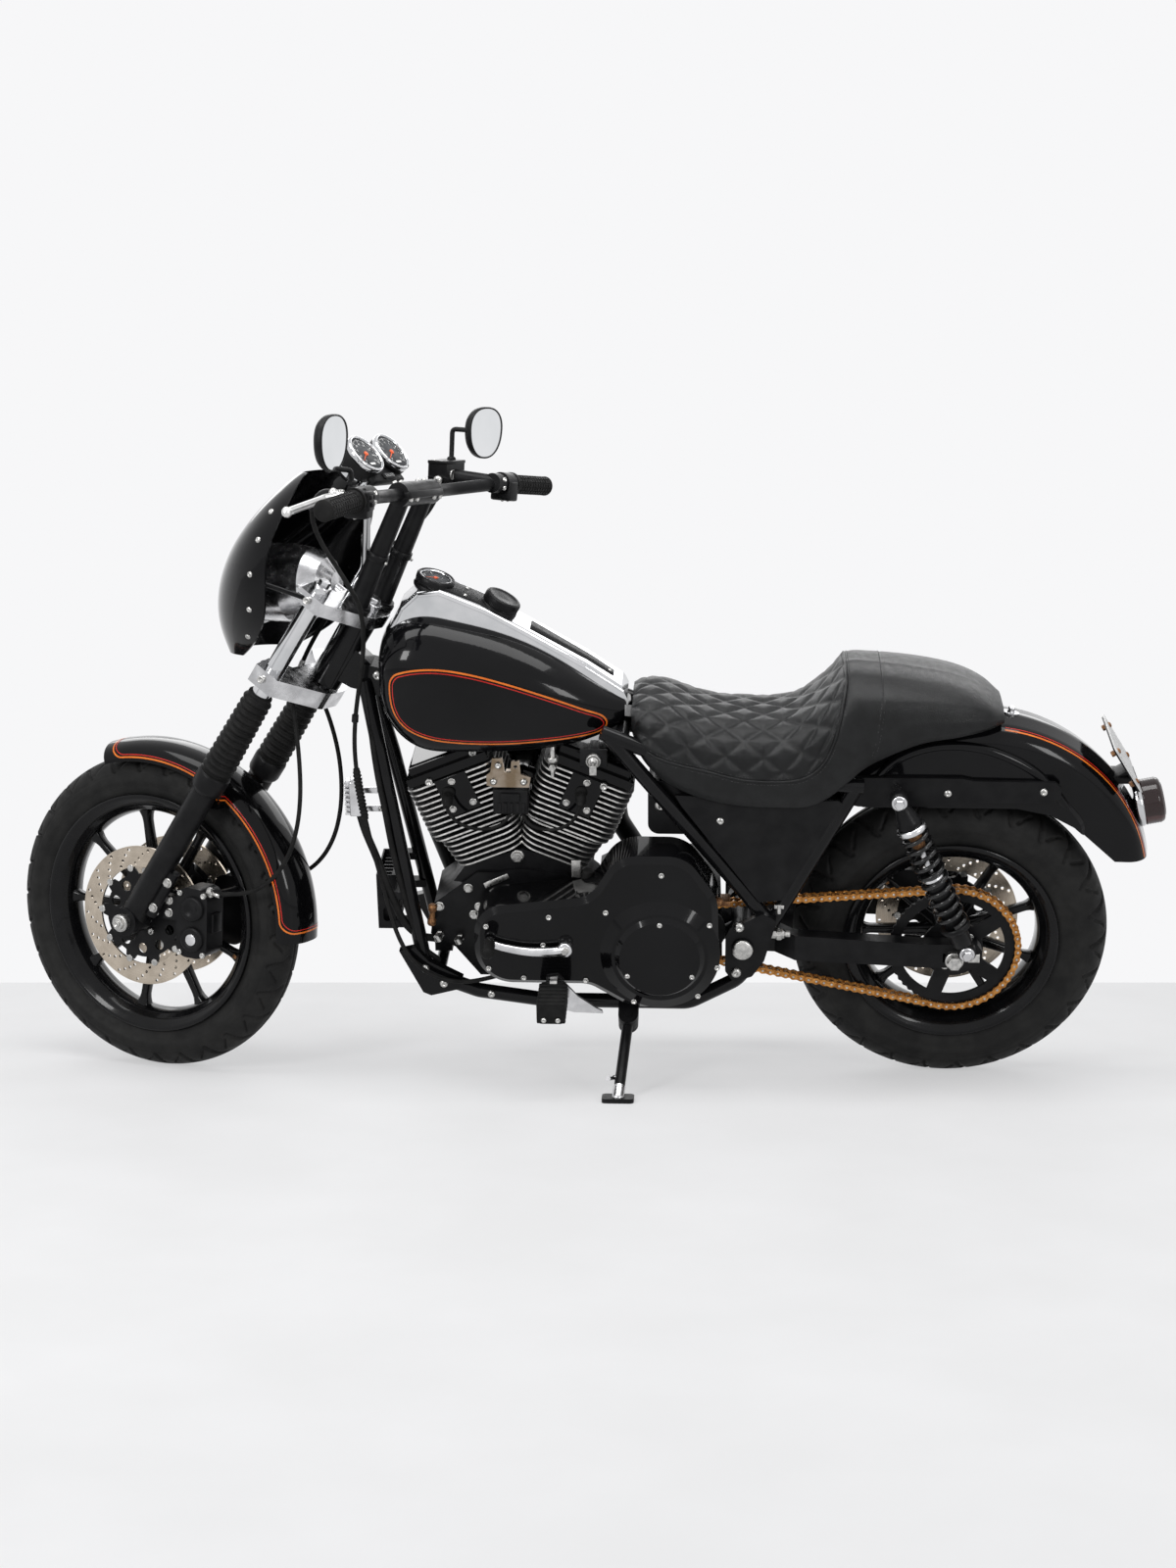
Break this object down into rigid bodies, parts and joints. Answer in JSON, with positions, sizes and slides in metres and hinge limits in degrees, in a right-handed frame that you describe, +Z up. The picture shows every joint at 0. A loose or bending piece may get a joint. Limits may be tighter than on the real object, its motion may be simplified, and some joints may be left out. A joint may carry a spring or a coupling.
{
  "type": "chopper motorcycle",
  "caption": "Black V-twin chopper motorcycle with a quarter fairing, T-bar risers, cast wheels and a solo seat, leaning on its side stand.",
  "frame": {"origin": "the rear tyre's contact point on the floor", "axes": "+X forward along the motorcycle, +Y to its left, +Z up"},
  "size_m": [2.3706, 1.0297, 1.378],
  "materials": {
    "tyre": "black tyre rubber",
    "gloss_black": "gloss black paint",
    "satin_black": "satin black powder coat",
    "stainless": "brushed stainless steel",
    "polished": "polished aluminium",
    "chrome": "chrome plate",
    "chain": "gold-bronze chain plates",
    "rubber": "matt black rubber",
    "leather": "black stitched leather",
    "black_plastic": "black plastic",
    "smoked_lens": "smoked lens",
    "fairing_paint": "gloss black moulding",
    "zinc": "zinc plated steel"
  },
  "bodies": {
    "frame": {"air_filter_and_carburettor": "gloss_black", "clutch_cable": "rubber", "cradle_tubes": "gloss_black", "crankcase": "satin_black", "cylinders": "satin_black", "drive_chain": "chain", "exhaust": "satin_black", "fender_struts": "satin_black", "foot_controls": "chrome", "foot_pegs": "rubber", "front_mount_plates": "gloss_black", "fuel_tank": "gloss_black", "gearbox": "satin_black", "lower_cross_members": "gloss_black", "oil_tank": "satin_black", "pivot_plates": "satin_black", "plate_bracket": "satin_black", "primary_cover": "gloss_black", "rear_axle": "zinc", "rear_caliper": "satin_black", "rear_fender": "gloss_black", "rear_frame_tubes": "gloss_black", "rear_shocks": "satin_black", "regulator": "polished", "rocker_boxes": "gloss_black", "seat": "leather", "side_covers": "black_plastic", "stand_bracket": "satin_black", "steering_head_and_backbone": "gloss_black", "swingarm": "satin_black", "tail_lamp": "smoked_lens", "tank_console": "chrome"},
    "steering": {"bar_risers": "satin_black", "brake_hoses": "rubber", "fairing": "fairing_paint", "fork_gaiters": "rubber", "fork_sliders": "satin_black", "fork_tubes": "chrome", "front_axle": "zinc", "front_calipers": "satin_black", "front_fender": "gloss_black", "gauges": "chrome", "grips": "rubber", "hand_controls": "satin_black", "handlebar": "satin_black", "headlamp": "polished", "lower_fork_clamp": "polished", "mirrors": "black_plastic", "upper_fork_clamp": "polished"},
    "front_wheel": {"front_discs": "stainless", "front_rim": "satin_black", "front_tyre": "tyre"},
    "rear_wheel": {"rear_disc": "stainless", "rear_rim": "satin_black", "rear_sprocket": "satin_black", "rear_tyre": "tyre"},
    "side_stand": {"side_stand": "satin_black"}
  },
  "joints": [
    {"name": "steering_turn", "type": "hinge", "parent": "frame", "child": "steering", "pos_m": [1.25487, 0.23255, 0.82663], "axis": [-0.5186, 0.25, 0.8177], "range_deg": [0, 52], "deforming": ["clutch_cable"]},
    {"name": "front_wheel_spin", "type": "hinge", "parent": "steering", "child": "front_wheel", "pos_m": [1.63958, 0.05251, 0.33071], "axis": [0.3748, 0.926, -0.0454], "continuous": true},
    {"name": "rear_wheel_spin", "type": "hinge", "parent": "frame", "child": "rear_wheel", "pos_m": [0, 0.07426, 0.3089], "axis": [0, 0.9563, -0.2924], "continuous": true},
    {"name": "side_stand_fold", "type": "hinge", "parent": "frame", "child": "side_stand", "pos_m": [0.65355, 0.18542, 0.13551], "axis": [-0.0036, 0.7108, 0.7034], "range_deg": [0, 78]}
  ]
}
